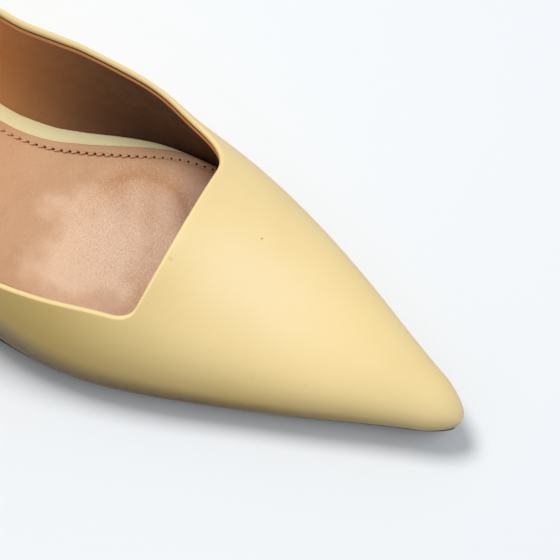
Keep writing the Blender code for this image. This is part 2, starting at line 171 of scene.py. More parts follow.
# %% Smooth curves through the tables
def smooth(stations, values):
    xs = np.asarray(stations, float)
    ys = np.asarray(values, float)
    gaps = np.diff(xs)
    slopes = np.diff(ys) / gaps
    tangents = np.empty_like(ys)
    tangents[1:-1] = (slopes[:-1] * gaps[1:] + slopes[1:] * gaps[:-1]) / (gaps[:-1] + gaps[1:])
    tangents[0] = 1.5 * slopes[0] - 0.5 * tangents[1]
    tangents[-1] = 1.5 * slopes[-1] - 0.5 * tangents[-2]

    def value(at):
        at = np.asarray(at, float)
        row = np.clip(np.searchsorted(xs, at) - 1, 0, len(xs) - 2)
        t = np.clip((at - xs[row]) / gaps[row], 0.0, 1.0)
        start = (1 + 2 * t) * (1 - t) ** 2 * ys[row] + t * (1 - t) ** 2 * gaps[row] * tangents[row]
        end = t * t * (3 - 2 * t) * ys[row + 1] + t * t * (t - 1) * gaps[row] * tangents[row + 1]
        return start + end

    return value


def column(table, pick):
    return smooth([row.along for row in table], [pick(row) for row in table])


plan_width = {
    INNER: column(PLAN, lambda row: row.inner * row.width),
    OUTER: column(PLAN, lambda row: row.outer * row.width),
}
feather_height = column(RISE, lambda row: BASE + row.heel * HEEL_LIFT + row.toe * TOE_SPRING)
toe_lift = column(RISE, lambda row: row.toe * TOE_SPRING)
bulge = {
    INNER: column(SECTIONS, lambda row: row.inner * SIDE_BULGE),
    OUTER: column(SECTIONS, lambda row: row.outer * SIDE_BULGE),
}
bulge_level = column(SECTIONS, lambda row: row.level * BULGE_LEVEL)
last_height = column(SECTIONS, lambda row: row.height * INSTEP_HEIGHT)
ridge_shift = column(SECTIONS, lambda row: row.ridge * RIDGE_SHIFT)
roundness = {
    INNER: column(SECTIONS, lambda row: row.inner_power),
    OUTER: column(SECTIONS, lambda row: row.outer_power),
}
top_height = {
    INNER: column(INNER_TOPLINE, lambda row: row.side * SIDE_HEIGHT + row.back * BACK_HEIGHT),
    OUTER: column(OUTER_TOPLINE, lambda row: row.side * SIDE_HEIGHT + row.back * BACK_HEIGHT),
}
corner_radius = {INNER: INNER_CORNER, OUTER: OUTER_CORNER}
print("feather line at the ball, mm:", round(float(feather_height(0.62)) / MM, 2))

# %% [markdown]
# Now the last itself. A place on it has two numbers. One is how far along the shoe it is.
# The other is the walk: 0 on the feather line and 1 on the ridge. Round the heel the slices
# turn like the pages of a fan, and at the toe they shrink along a quarter of an ellipse.

# %% The surface of the last
def nose(along, tip=1.0):
    start = tip - TOE_NOSE / LAST_LENGTH
    share = np.clip((along - start) / (tip - start), 0, 1)
    return np.sqrt(np.maximum(1 - share**2, 0))


def heel_turn(along):
    return np.arcsin(np.clip(1 - along * LAST_LENGTH / HEEL_CENTRE, 0, 1))


def middle_line(along):
    return (plan_width[INNER](along) - plan_width[OUTER](along)) / 2


def plan_slope(side, along):
    step = 0.5 * MM / LAST_LENGTH
    change = plan_width[side](along + step) - plan_width[side](along - step)
    return np.where(heel_turn(along) > 0, 0.0, change / (2 * step * LAST_LENGTH))


def feather(side, along, inset=0.0, tip=1.0):
    along = np.asarray(along, float)
    turn = heel_turn(along)
    half = plan_width[side](np.maximum(along, HEEL_CENTRE / LAST_LENGTH))
    end = nose(along, tip)
    slope = plan_slope(side, along)
    square = np.sqrt(1 + slope**2)
    x = along * LAST_LENGTH - HEEL_CENTRE + inset * np.sin(turn) + inset * slope / square * end
    across = side * (half * np.cos(turn) - inset * np.cos(turn) / square)
    middle = middle_line(along)
    return np.stack([x, middle + (across - middle) * end], -1)


def section(side, along, walk, wall=0.0):
    along, walk, wall = np.broadcast_arrays(*(np.asarray(v, float) for v in (along, walk, wall)))
    back = wall * TIP_DRAW / LAST_LENGTH
    along = along - back * np.clip(1 - (1 - along) / DRAW_SPAN, 0, 1) ** 2
    tip = 1 - back
    point = feather(side, along, wall, tip)
    turn = heel_turn(along)
    end = nose(along, tip)
    swell = bulge[side](along) * end
    level = bulge_level(along)
    height = level + (last_height(along) - wall - level) * end
    power = 2 / roundness[side](along)
    body = (plan_width[side](along) - wall - side * middle_line(along)) * end
    half = (HEEL_CENTRE - wall) * np.sin(turn) ** 2 + body * np.cos(turn) ** 2
    low = np.clip(walk / LOW_SHARE, 0, 1)
    angle = np.clip((walk - LOW_SHARE) / (1 - LOW_SHARE), 0, 1) * math.pi / 2
    above = walk > LOW_SHARE
    reach = np.where(above, np.clip(np.cos(angle), 0, 1) ** power, 1.0)
    climb = np.where(above, np.sin(angle) ** power, 0.0)
    offset = (half + swell) * reach - swell * (1 - low) ** 2 - half
    z = level * low + (height - level) * climb
    lean = ridge_shift(along) * (z / height) ** 2 * end
    overhang = np.clip(1 - (1 - along) / (3 * TOE_NOSE / LAST_LENGTH), 0, 1) ** 2
    x = point[..., 0] - np.sin(turn) * offset + NOSE_OVERHANG * overhang * (1 - (1 - low) ** 2)
    y = point[..., 1] + side * np.cos(turn) * offset + lean
    return np.stack([x, y, feather_height(along) + z], -1)


def walk_to(side, height, along):
    level = bulge_level(along)
    full = last_height(along)
    share = np.clip((height - level) / (full - level), 0, 1)
    angle = np.arcsin(share ** (roundness[side](along) / 2))
    low = LOW_SHARE * np.clip(height / level, 0, 1)
    return np.where(height > level, LOW_SHARE + (1 - LOW_SHARE) * angle / (math.pi / 2), low)


tip_point = section(INNER, 1.0, 0.2)
print("tip of the toe, mm:", [round(float(v) / MM, 1) for v in tip_point])

# %% [markdown]
# ## Lines up the upper
#
# The skin is woven from lines that climb from the feather line to the top edge. Along the
# sides they go straight up. In front of the throat they start at the toe and run back over
# the vamp, so no line crosses another and the square throat gets its own edge loop.

# %% Trace the lines
HEEL_LINES = 34
SIDE_LINES = 110
VAMP_LINES = 120
FINE_STEPS = 400
FAN_BEND = 5.0


def throat_path(side):
    corner = 1 - VAMP_LENGTH / LAST_LENGTH
    before = corner - corner_radius[side] / LAST_LENGTH
    height = top_height[side]
    start = np.array([before, walk_to(side, height(before), before)])
    knee = np.array([corner, walk_to(side, height(corner), corner)])
    sweep = corner_radius[side] / (BALL_WIDTH / 2)
    after = np.array([corner, knee[1] + (1 - knee[1]) * sweep])
    t = np.linspace(0, 1, FINE_STEPS)[:, None]
    bend = (1 - t) ** 2 * start + 2 * t * (1 - t) * knee + t**2 * after
    across = after + (np.array([corner, 1.0]) - after) * t[1:]
    path = np.concatenate([bend, across])
    dip = np.clip((path[:, 1] - knee[1]) / (1 - knee[1]), 0, 1)
    path[:, 0] += THROAT_DIP / LAST_LENGTH * dip * (2 - dip)
    return path


def line_path(foot, top):
    forward = np.clip((foot - top[0]) / (1 - top[0]), 0, 1)
    if forward > 0.999:
        rise = np.concatenate([np.linspace(0, 1, FINE_STEPS), np.ones(FINE_STEPS)])
        back = np.concatenate([np.zeros(FINE_STEPS), np.linspace(0, 1, FINE_STEPS)])
    else:
        theta = np.linspace(0, math.pi / 2, 2 * FINE_STEPS)
        power = 2 / (1 + FAN_BEND * forward**3)
        rise = np.sin(theta) ** power
        back = 1 - np.cos(theta) ** power
    return foot + (top[0] - foot) * back, top[1] * rise


def side_lines(side):
    turns = np.linspace(math.pi / 2, 0, HEEL_LINES)
    heel = (1 - np.sin(turns)) * HEEL_CENTRE / LAST_LENGTH
    corner = 1 - (VAMP_LENGTH + corner_radius[side]) / LAST_LENGTH
    stations = np.concatenate([heel[:-1], np.linspace(heel[-1], corner, SIDE_LINES)])
    lines = []
    for along in stations:
        top = np.array([along, walk_to(side, top_height[side](along), along)])
        lines.append(line_path(along, top))
    path = throat_path(side)
    curve = section(side, path[:, 0], path[:, 1])
    length = np.concatenate([[0], np.cumsum(np.linalg.norm(np.diff(curve, axis=0), axis=-1))])
    for number in range(1, VAMP_LINES + 1):
        t = number / VAMP_LINES
        top = np.array([np.interp(t * length[-1], length, path[:, k]) for k in range(2)])
        foot = stations[-1] + (1 - stations[-1]) * (1 - (1 - t) ** 1.35)
        lines.append(line_path(foot, top))
    return lines


class Line:
    """One line up the upper, read by its distance from the feather line."""

    def __init__(self, side, along, walk):
        points = section(side, along, walk)
        steps = np.linalg.norm(np.diff(points, axis=0), axis=-1)
        self.side = side
        self.along = along
        self.walk = walk
        self.distance = np.concatenate([[0], np.cumsum(steps)])
        self.length = self.distance[-1]

    def at(self, distance, wall):
        along = np.interp(distance, self.distance, self.along)
        walk = np.interp(distance, self.distance, self.walk)
        return section(self.side, along, walk, wall)


inner_lines = [Line(INNER, *path) for path in side_lines(INNER)]
outer_lines = [Line(OUTER, *path) for path in side_lines(OUTER)]
LINES = inner_lines + outer_lines[-2:0:-1]
print(len(LINES), "lines, the longest", round(max(line.length for line in LINES) / MM, 1), "mm")

# %% [markdown]
# A mesh is only points and faces, so three small helpers do all the joining. One closes a
# ring of cross-sections into a skin, one gives a mesh its object, and one marks the hard
# edges by their angle so that smooth leather shades smoothly and a cut edge stays crisp.

# %% Helpers for meshes
def new_piece(name, points, faces, materials, sharp=50):
    mesh = bpy.data.meshes.new(name)
    mesh.from_pydata([tuple(p) for p in points], [], faces)
    mesh.validate()
    mesh.shade_smooth()
    mesh.set_sharp_from_angle(angle=math.radians(sharp))
    for material in materials:
        mesh.materials.append(material)
    piece = bpy.data.objects.new(name, mesh)
    bpy.context.scene.collection.objects.link(piece)
    return piece


def ring_of_loops(loops):
    """Points and faces of closed loops that follow each other round a ring."""
    count, size = loops.shape[:2]
    faces = []
    for i in range(count):
        j = (i + 1) % count
        for k in range(size):
            n = (k + 1) % size
            faces.append((i * size + n, j * size + n, j * size + k, i * size + k))
    return loops.reshape(-1, 3), faces


def triangles(piece):
    return sum(len(face.vertices) - 2 for face in piece.data.polygons)


print("helpers ready")

# %% [markdown]
# ## Leather
#
# Smooth calf is not one flat colour. The dye lies a little thicker in some places, the pores
# are finer than a tenth of a millimetre, and the finish gives a wide soft gloss. Noise on
# the object's own coordinates gives all three. A picture texture would do it too, but
# procedural grain stays sharp at any distance and needs no map.
#
# The colour also carries painted shade low on the walls, where the upper turns under, with a
# darker painted band at the turn itself, more painted shade up the outer wall below the lip
# and a little at the toe. The skin will carry a value named rise, 0 at the feather line and 1
# on the ridge, and the colour reads it. The painted shade low on the walls fades towards the
# heel and the inner side. Last come a painted highlight in the middle of the vamp, a pinhead
# of dirt and a drop of dye, each at its place in millimetres.

# %% Leather from noise
def colour(red, green, blue):
    """A shade given in ordinary screen values, turned to linear light."""
    def linear(v):
        v = v / 255
        return v / 12.92 if v <= 0.04045 else ((v + 0.055) / 1.055) ** 2.4
    return (linear(red), linear(green), linear(blue), 1.0)


class Finish:
    """A material under construction: its tree, its shader and the object's coordinates."""

    def __init__(self, name, base, roughness):
        self.material = bpy.data.materials.new(name)
        self.material.use_nodes = True
        self.nodes = self.material.node_tree.nodes
        self.links = self.material.node_tree.links
        self.shader = self.nodes["Principled BSDF"]
        self.shader.inputs["Base Color"].default_value = base
        self.shader.inputs["Roughness"].default_value = roughness
        self.place = self.nodes.new("ShaderNodeTexCoord").outputs["Object"]

    def noise(self, scale, detail=3.0, stretch=(1, 1, 1)):
        mapping = self.nodes.new("ShaderNodeMapping")
        mapping.inputs["Scale"].default_value = stretch
        self.links.new(self.place, mapping.inputs["Vector"])
        texture = self.nodes.new("ShaderNodeTexNoise")
        texture.inputs["Scale"].default_value = scale
        texture.inputs["Detail"].default_value = detail
        self.links.new(mapping.outputs["Vector"], texture.inputs["Vector"])
        return texture.outputs["Fac"]

    def band(self, value, low, high, start=0.0, end=1.0):
        node = self.nodes.new("ShaderNodeMapRange")
        node.interpolation_type = "SMOOTHSTEP"
        for name, number in (("From Min", low), ("From Max", high), ("To Min", start), ("To Max", end)):
            node.inputs[name].default_value = number
        self.links.new(value, node.inputs["Value"])
        return node.outputs["Result"]

    def axis(self, letter):
        node = self.nodes.new("ShaderNodeSeparateXYZ")
        self.links.new(self.place, node.inputs["Vector"])
        return node.outputs[letter]

    def attribute(self, name):
        node = self.nodes.new("ShaderNodeAttribute")
        node.attribute_name = name
        return node.outputs["Fac"]

    def away(self, centre, squash=(1, 1, 1)):
        """How far a place is from a point, each axis with its own scale."""
        shift = self.nodes.new("ShaderNodeVectorMath")
        shift.operation = "SUBTRACT"
        shift.inputs[1].default_value = centre
        self.links.new(self.place, shift.inputs[0])
        scale = self.nodes.new("ShaderNodeVectorMath")
        scale.operation = "MULTIPLY"
        scale.inputs[1].default_value = squash
        self.links.new(shift.outputs["Vector"], scale.inputs[0])
        length = self.nodes.new("ShaderNodeVectorMath")
        length.operation = "LENGTH"
        self.links.new(scale.outputs["Vector"], length.inputs[0])
        return length.outputs["Value"]

    def reckon(self, operation, a, b):
        node = self.nodes.new("ShaderNodeMath")
        node.operation = operation
        for socket, value in zip(node.inputs, (a, b)):
            if isinstance(value, (int, float)):
                socket.default_value = value
            else:
                self.links.new(value, socket)
        return node.outputs["Value"]

    def times(self, a, b):
        return self.reckon("MULTIPLY", a, b)

    def plus(self, a, b):
        return self.reckon("ADD", a, b)

    def tint(self, share, shade):
        """Lays another shade over the colour so far."""
        node = self.nodes.new("ShaderNodeMix")
        node.data_type = "RGBA"
        base = self.shader.inputs["Base Color"]
        if base.is_linked:
            self.links.new(base.links[0].from_socket, node.inputs["A"])
        else:
            node.inputs["A"].default_value = base.default_value
        node.inputs["B"].default_value = shade
        self.links.new(share, node.inputs["Factor"])
        self.links.new(node.outputs["Result"], base)

    def grain(self, heights, depth):
        """Bumps from several noises, each with its own weight."""
        total = None
        for value, weight in heights:
            part = self.times(value, weight)
            total = part if total is None else self.plus(total, part)
        bump = self.nodes.new("ShaderNodeBump")
        bump.inputs["Distance"].default_value = depth
        bump.inputs["Strength"].default_value = 1.0
        self.links.new(total, bump.inputs["Height"])
        self.links.new(bump.outputs["Normal"], self.shader.inputs["Normal"])

    def rough(self, value, low, high):
        self.links.new(self.band(value, 0.25, 0.75, low, high), self.shader.inputs["Roughness"])


def butter_calf(name, base=(246, 219, 158), deep=(236, 206, 138)):
    calf = Finish(name, colour(*base), 0.42)
    calf.tint(calf.band(calf.noise(38, 4), 0.35, 0.75, 0.0, 0.35), colour(*deep))
    calf.tint(calf.band(calf.noise(900, 2), 0.62, 0.82, 0.0, 0.22), colour(214, 180, 112))
    calf.grain(((calf.noise(5200, 3), 1.0), (calf.noise(1300, 4), 0.8), (calf.noise(160, 3), 1.6)), 0.00003)
    calf.rough(calf.noise(420, 3), 0.36, 0.50)
    calf.shader.inputs["Specular IOR Level"].default_value = 0.25
    return calf


TOWARDS_WAIST = (-40.0 * MM, 120.0 * MM)
TOWARDS_INNER = (-14.0 * MM, 16.0 * MM)
THROAT_END = (112.0 * MM, 170.0 * MM)
OUTER_HALF = (-20.0 * MM, 0.0)
TOE_SHADE_SPAN = (185.0 * MM, 232.0 * MM)
VAMP_FRONT = (160.0 * MM, 230.0 * MM)
HIGHLIGHT_MIDDLE = (171.0 * MM, 1.0 * MM, 0.0)
HIGHLIGHT_REACH = (1 / (34.0 * MM), 1 / (20.0 * MM), 0)
SPECK = (165.8 * MM, 12.9 * MM, 0.0)
DYE_DROP = (148.1 * MM, -6.9 * MM, 0.0)

calf = butter_calf("butter_calf")
up_wall, along_shoe, across_shoe = calf.attribute("rise"), calf.axis("X"), calf.axis("Y")
# where the painted shade reaches: less towards the heel and the inner side
painted_shade_side = calf.times(calf.band(along_shoe, *TOWARDS_WAIST, 0.10, 1.0),
                         calf.band(across_shoe, *TOWARDS_INNER, 1.0, 0.3))
# painted shade low on the walls, where the upper turns under
calf.tint(calf.times(calf.band(up_wall, 0.06, 0.66, 1.0, 0.0), painted_shade_side), colour(166, 134, 54))
# painted shade up the outer wall to just below the lip, fading towards the throat's end
outer_wall_shade = calf.times(calf.band(along_shoe, *THROAT_END, 0.6, 0.0),
                       calf.band(across_shoe, *OUTER_HALF, 1.0, 0.0))
below_lip = calf.band(up_wall, 0.96, 0.99, 1.0, 0.0)
calf.tint(calf.times(calf.times(outer_wall_shade, painted_shade_side), below_lip), colour(182, 148, 64))
# painted shade: the vamp grows darker towards the toe tip
calf.tint(calf.band(along_shoe, *TOE_SHADE_SPAN, 0.0, 0.40), colour(222, 200, 146))
# painted shade: a dark band where the wall turns under, out of the light
turn_under_shade = calf.times(calf.band(up_wall, 0.17, 0.32, 0.95, 0.0),
                        calf.band(along_shoe, *VAMP_FRONT, 1.0, 0.3))
calf.tint(calf.times(turn_under_shade, painted_shade_side), colour(92, 68, 24))
# painted highlight: a paler middle on the vamp where the light falls
highlight_distance = calf.away(HIGHLIGHT_MIDDLE, HIGHLIGHT_REACH)
calf.tint(calf.band(highlight_distance, 0.1, 1.0, 0.5, 0.0), colour(255, 232, 190))
speck = calf.away(SPECK, (1, 1, 0))
calf.tint(calf.band(speck, 0.15 * MM, 0.48 * MM, 0.6, 0.0), colour(150, 116, 70))
dye_drop = calf.away(DYE_DROP, (1, 1.6, 0))
calf.tint(calf.band(dye_drop, 0.3 * MM, 1.2 * MM, 0.6, 0.0), colour(222, 196, 92))
CALF = calf.material
print("calf ready:", CALF.name)

# %% [markdown]
# ## The upper's skin
#
# The real skin is one piece of calf about a millimetre thick. At the top its edge is folded
# inwards over a tape and hammered flat, which gives the soft round lip that catches the
# light. So each line gets one closed cross-section: up the outside, over a small half
# circle, a short way down inside, and back behind the lining to the feather line.

# %% Skin with a folded top edge
SKIN = 1.0 * MM
LIP = 1.75 * MM
FOLD = 1.5 * MM
OUTSIDE_ROWS = 56
LIP_ROWS = 9
HIDDEN_ROWS = 9


def outside_rows(line):
    """Distances up the outside, closer together low down, where the skin turns under."""
    share = np.linspace(0, 1, OUTSIDE_ROWS)
    lip_start = line.length - LIP / 2
    return 0.45 * MM + (lip_start - 0.45 * MM) * (share + 0.5 * share * share) / 1.5


def skin_loop(line):
    lip_start = line.length - LIP / 2
    outside = line.at(outside_rows(line), 0.0)
    inner_start = line.at(np.array([lip_start]), LIP)[0]
    up = line.at(np.array([lip_start]), 0.0)[0] - line.at(np.array([lip_start - 1.0 * MM]), 0.0)[0]
    up = up / np.linalg.norm(up)
    centre = (outside[-1] + inner_start) / 2
    arm = (outside[-1] - inner_start) / 2
    angle = np.linspace(0, math.pi, LIP_ROWS + 2)[1:-1, None]
    lip = centre + arm * np.cos(angle) + up * np.linalg.norm(arm) * np.sin(angle)
    below = line.length - FOLD * np.array([0.68, 0.77, 0.86, 0.93, 0.97, 1.0, 1.01, 1.03])
    walls = np.array([1.0, 1.0, 0.99, 0.98, 0.95, 0.88, 0.75, SKIN / LIP]) * LIP
    fold = line.at(below, walls)
    hidden = line.at(np.linspace(line.length - 3.4 * MM, 0.5 * MM, HIDDEN_ROWS), SKIN)
    foot = line.at(np.array([0.12, 0.0, 0.12]) * MM, np.array([0.85, 0.5, 0.15]) * SKIN)
    return np.concatenate([outside, lip, [inner_start], fold, hidden, foot])


def rise_of(line, count):
    outside = np.interp(outside_rows(line), line.distance, line.walk)
    return np.concatenate([outside, np.ones(count - OUTSIDE_ROWS)])


skin_loops = np.array([skin_loop(line) for line in LINES])
points, faces = ring_of_loops(skin_loops)
upper_skin = new_piece("upper_skin", points, faces, [CALF], sharp=60)
rise = np.concatenate([rise_of(line, skin_loops.shape[1]) for line in LINES])
upper_skin.data.attributes.new("rise", "FLOAT", "POINT").data.foreach_set("value", rise)
print("upper skin:", triangles(upper_skin), "triangles")

# %% [markdown]
# ## The lining
#
# Inside is a brown glove leather. Its raw edge stops a little below the fold, so a thin dark
# gap and a lighter cut edge run round the whole opening. It is its own closed wall, in the
# place of the inner half of the CAD upper, with a second material on the cut edge.

# %% Lining and its cut edge
LINING_BACK = 1.15 * MM
LINING_FACE = 2.05 * MM
LINING_DROP = 1.3 * MM
LINING_FLARE = 0.85 * MM
FLARE_SPAN = 3.0 * MM
LINING_ROWS = 40

lining = Finish("brown_lining", colour(250, 176, 108), 0.5)
# painted shade: the lining darkens towards the throat, where little light reaches into the toe
lining.tint(lining.band(lining.axis("X"), 0.052, 0.116, 0.0, 0.97), colour(80, 50, 36))
lining.tint(lining.band(lining.noise(60, 4), 0.4, 0.75, 0.0, 0.20), colour(150, 97, 60))
lining.grain(((lining.noise(2600, 4), 1.0), (lining.noise(600, 3), 1.0)), 0.00006)
lining.rough(lining.noise(300, 3), 0.42, 0.6)
cut_edge = Finish("lining_cut_edge", colour(176, 112, 60), 0.7)
cut_edge.grain(((cut_edge.noise(4000, 2), 1.0),), 0.00005)


def flare(rows, top):
    """The lining leaves the fold near its top, so a thin gap shows beside the cut edge."""
    return LINING_FLARE * np.clip(1 - (top - rows) / FLARE_SPAN, 0, 1) ** 2


def lining_loop(line):
    top = line.length - LINING_DROP
    close = top - np.array([0.1, 0.5, 1.0, 1.6, 2.3]) * MM
    face_rows = np.concatenate([close, np.linspace(0.4 * MM, top - 3.0 * MM, LINING_ROWS)[::-1]])
    face = line.at(face_rows, LINING_FACE + flare(face_rows, top))
    edge = line.at(top + np.array([0.1, 0.14, 0.1]) * MM, LINING_FLARE + np.array([1.3, 1.6, 1.9]) * MM)
    back_rows = np.concatenate([np.linspace(0.4 * MM, top - 3.0 * MM, 7), close[::-1]])
    back = line.at(back_rows, LINING_BACK + flare(back_rows, top))
    return np.concatenate([back, edge, face])


loops = np.array([lining_loop(line) for line in LINES])
points, faces = ring_of_loops(loops)
lining_piece = new_piece("lining", points, faces, [lining.material, cut_edge.material], sharp=40)
size = loops.shape[1]
for number, face in enumerate(lining_piece.data.polygons):
    if 11 <= number % size <= 15:
        face.material_index = 1
print("lining:", triangles(lining_piece), "triangles")

# %% [markdown]
# ## Pieces that lie flat
#
# The insole, the sock, the wedge and the outsole are all slabs that follow the feather line.
# One helper slices them across. Each slice goes up the inner edge, over the top, down the
# outer edge and back underneath. The edge is given as short rows of inset and height, so
# that a rounded edge is three rows and not a modifier whose size depends on the mesh.

# %% Slabs along the foot
CLEARANCE = 0.3 * MM
INSOLE_THICKNESS = 3.5 * MM
INSOLE_ROUND = 0.9 * MM
INSOLE_SETBACK = 3.5 * MM
SOCK_MARGIN = 0.2 * MM
RIM_WIDTH = 4.6 * MM
SLICES = 300
Rim = namedtuple("Rim", "along share")
RIM = (
    Rim(0.00, 0.80),
    Rim(0.20, 0.90),
    Rim(0.40, 0.92),
    Rim(0.46, 1.00),
    Rim(0.50, 0.85),
    Rim(0.54, 0.64),
    Rim(0.57, 0.38),
    Rim(0.60, 0.04),
    Rim(0.64, 0.00),
    Rim(1.00, 0.00),
)
rim_width = column(RIM, lambda row: row.share * RIM_WIDTH)


def slices(front, pointed=True, count=SLICES):
    turns = np.linspace(math.pi / 2 - 0.012, 0, 30)
    heel = (1 - np.sin(turns)) * HEEL_CENTRE / LAST_LENGTH
    if not pointed:
        return np.concatenate([heel[:-1], np.linspace(heel[-1], front, count)])
    start = front - TOE_NOSE / LAST_LENGTH
    end = start + (front - start) * np.sin(np.linspace(0, math.pi / 2 - 0.012, 24))
    return np.concatenate([heel[:-1], np.linspace(heel[-1], start, count)[:-1], end])


def wall_inset(side, stations, height):
    level = bulge_level(stations)
    swell = bulge[side](stations) * nose(stations)
    low = np.clip(height / level, 0, 1)
    slope = 2 * swell * (1 - low) / level
    outside = swell * (1 - (1 - low) ** 2)
    square = np.sqrt(1 + plan_slope(side, stations) ** 2)
    return WALL + CLEARANCE * np.sqrt(1 + slope**2) - outside / square


def slab(name, stations, rows, across, materials, tip=1.0, relief=None, sharp=50):
    """rows are (insets by side, heights) from the bottom of the edge to its top."""
    edges = {}
    for side in (INNER, OUTER):
        stack = [np.column_stack([feather(side, stations, inset[side], tip), height + 0 * stations])
                 for inset, height in rows]
        edges[side] = np.stack(stack, 1)
    v = np.linspace(0, 1, across + 2)[1:-1]
    top = edges[INNER][:, -1:, :] * (1 - v)[None, :, None] + edges[OUTER][:, -1:, :] * v[None, :, None]
    if relief is not None:
        top[..., 2] += relief(top, stations)
    loops = np.concatenate([edges[INNER], top, edges[OUTER][:, ::-1]], 1)
    count, size = loops.shape[:2]
    faces = []
    for i in range(count - 1):
        for k in range(size):
            n = (k + 1) % size
            faces.append((i * size + k, i * size + n, (i + 1) * size + n, (i + 1) * size + k))
    faces.append(tuple(range(size - 1, -1, -1)))
    faces.append(tuple((count - 1) * size + k for k in range(size)))
    return new_piece(name, loops.reshape(-1, 3), faces, materials, sharp)


def both(inset):
    return {INNER: inset, OUTER: inset}


print("slab helper ready")

# %% [markdown]
# ## The footbed's rim
#
# The footbed is a board with a thin cushion, wrapped in the same calf as the upper. Its
# round edge shows as a pale strip beside the sock, widest at the waist. The strip's calf is
# given a paler shade than the upper's: painted light, since the strip lies in the far wall's
# shade. The wrapping is pulled tight, so the strip is smooth. Its rounding is a short list of
# height and inset.

# %% Wrapped footbed
RIM_ROUND = ((0.0, 0.25), (0.25, 0.0), (1.3, 0.0), (2.1, 0.0),
             (2.7, 0.12), (3.1, 0.36), (3.38, 0.72), (3.5, 1.2))
insole_tip = 1 - (WALL + CLEARANCE + INSOLE_SETBACK) / LAST_LENGTH
stations = slices(insole_tip)
feet = feather_height(stations)
rows = []
for height, inward in RIM_ROUND:
    insets = {s: wall_inset(s, stations, height * MM) + inward * MM for s in (INNER, OUTER)}
    rows.append((insets, feet + height * MM))
# the paler base is painted light for a strip that lies in the far wall's shade
rim_calf_painted_light = butter_calf("rim_calf_painted_light", (250, 238, 186), (244, 228, 166)).material
insole = slab("insole_wrap", stations, rows, 24, [rim_calf_painted_light], insole_tip)
print("insole:", triangles(insole), "triangles")

# %% [markdown]
# ## The sock
#
# The tan sock is what the foot stands on. It is glued to the footbed and stitched near its
# edge. Wear and the press of the stitches leave a shallow channel along the row, faint
# ripples beside the ball and a smoother patch where the foot rubs. That patch is paler partly
# from wear and partly from a painted sheen, and painted shade darkens the sock by the far
# corner of the throat. The channel and ripples are real relief in the top of the slab, and the
# rest is in its material.

# %% Sock with a stitched channel
Row = namedtuple("Row", "along inset")
STITCH_ROW = (
    Row(0.00, 2.3),
    Row(0.42, 2.35),
    Row(0.46, 2.6),
    Row(0.51, 2.95),
    Row(0.56, 3.1),
    Row(0.60, 2.55),
    Row(0.64, 1.3),
    Row(0.70, 1.3),
    Row(1.00, 1.3),
)
stitch_inset = column(STITCH_ROW, lambda row: row.inset * MM)
ARCH_CENTRE = (129.0, 8.0)
ARCH_RADII = (15.0, 18.0)
sock_tip = 1 - (WALL + 2 * CLEARANCE + 2 * INSOLE_SETBACK) / LAST_LENGTH
stations = slices(sock_tip)
sock_base = INSOLE_THICKNESS + 0.1 * MM


def sock_inset(side, at):
    wall = wall_inset(side, at, INSOLE_THICKNESS)
    return wall + INSOLE_ROUND + SOCK_MARGIN + rim_width(at)


def sock_relief(top, at):
    """Channel beside the edge, a slight hollow in the middle and ripples at the ball."""
    inner = feather(INNER, at, sock_inset(INNER, at), sock_tip)[:, None, 1]
    outer = feather(OUTER, at, sock_inset(OUTER, at), sock_tip)[:, None, 1]
    y = top[..., 1]
    from_edge = np.minimum(inner - y, y - outer) / MM
    channel = -0.24 * np.exp(-(((from_edge - stitch_inset(at)[:, None] / MM) / 0.6) ** 2))
    lip = -0.16 * np.exp(-from_edge / 0.35)
    middle = (inner + outer) / 2
    width = np.maximum(inner - outer, 1e-4)
    hollow = -0.5 * (1 - np.clip(2 * np.abs(y - middle) / width, 0, 1) ** 2)
    x = top[..., 0] / MM
    yy = y / MM
    ripple = 0.10 * np.sin(0.62 * x + 0.28 * yy) * np.exp(-(((x - 128) / 16) ** 2) - (((yy - 16) / 10) ** 2))
    ripple += 0.06 * np.sin(0.9 * x - 0.5 * yy) * np.exp(-(((x - 140) / 10) ** 2) - (((yy - 20) / 7) ** 2))
    arch = np.hypot((x - ARCH_CENTRE[0]) / ARCH_RADII[0], (yy - ARCH_CENTRE[1]) / ARCH_RADII[1])
    groove = -0.16 * np.exp(-(((arch - 1.0) / 0.09) ** 2)) * np.clip((yy - 12) / 6, 0, 1)
    return (channel + lip + hollow + ripple + groove) * MM * np.clip(width / (12 * MM), 0, 1)


SOCK_ROUND = ((0.0, 0.12), (0.15, 0.0), (0.72, 0.0), (0.92, 0.08), (1.02, 0.22), (1.06, 0.40))
ARCH_PLACE = (ARCH_CENTRE[0] * MM, ARCH_CENTRE[1] * MM, 9.0 * MM)
ARCH_REACH = (1 / (ARCH_RADII[0] * MM), 1 / (ARCH_RADII[1] * MM), 10.0)
WEAR_AND_SHEEN_PLACE = (120.0 * MM, -5.0 * MM, 9.0 * MM)
WEAR_AND_SHEEN_REACH = (1 / (21.0 * MM), 1 / (28.0 * MM), 8.0)
FAR_CORNER_SHADE = (143.0 * MM, 26.0 * MM, 9.0 * MM)
FAR_SHADE_REACH = (1 / (13.0 * MM), 1 / (16.0 * MM), 8.0)
NEAR_CORNER = (132.0 * MM, -15.0 * MM, 9.0 * MM)
NEAR_REACH = (1 / (10.0 * MM), 1 / (6.0 * MM), 8.0)

